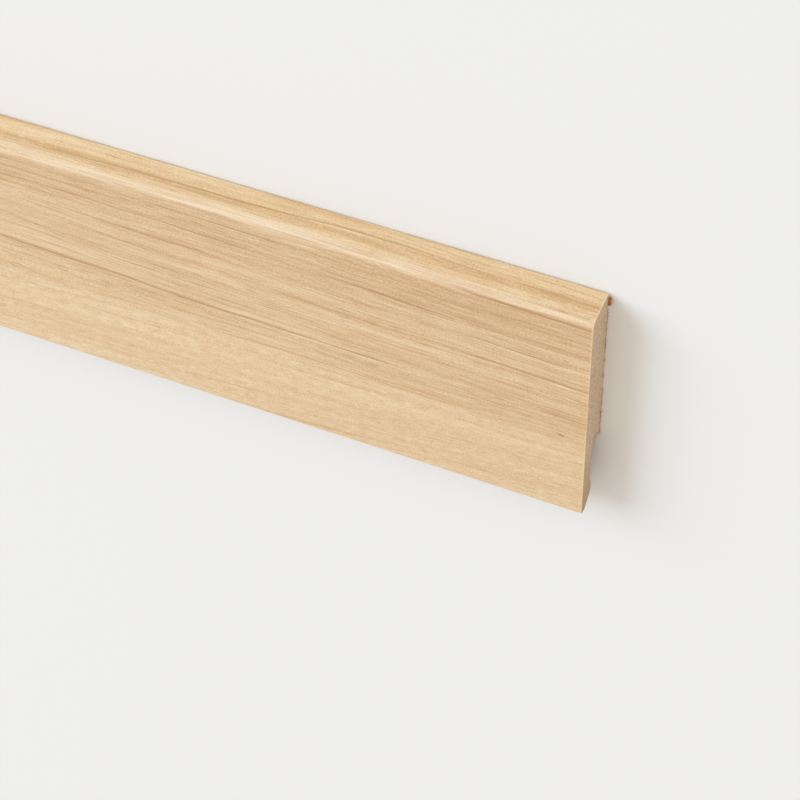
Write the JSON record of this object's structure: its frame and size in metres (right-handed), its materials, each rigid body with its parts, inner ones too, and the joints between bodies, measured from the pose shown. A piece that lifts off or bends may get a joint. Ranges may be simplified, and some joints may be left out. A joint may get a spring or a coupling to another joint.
{
  "type": "skirting board length",
  "caption": "Long flat skirting board with a sloped top edge, an oak veneered face on a fibreboard core, and a recess along its back for wall clips.",
  "frame": {"origin": "in the wall plane of the back, under the middle of the length and of the height", "axes": "+X along the length, +Y from the floor edge to the sloped top edge, +Z from the wall plane to the face"},
  "size_m": [2.4, 0.08, 0.012],
  "materials": {
    "fibreboard": "matt, machined",
    "oak_veneer": "satin lacquer"
  },
  "bodies": {
    "root": {"fibreboard_core": "fibreboard", "oak_veneer": "oak_veneer"}
  },
  "joints": []
}
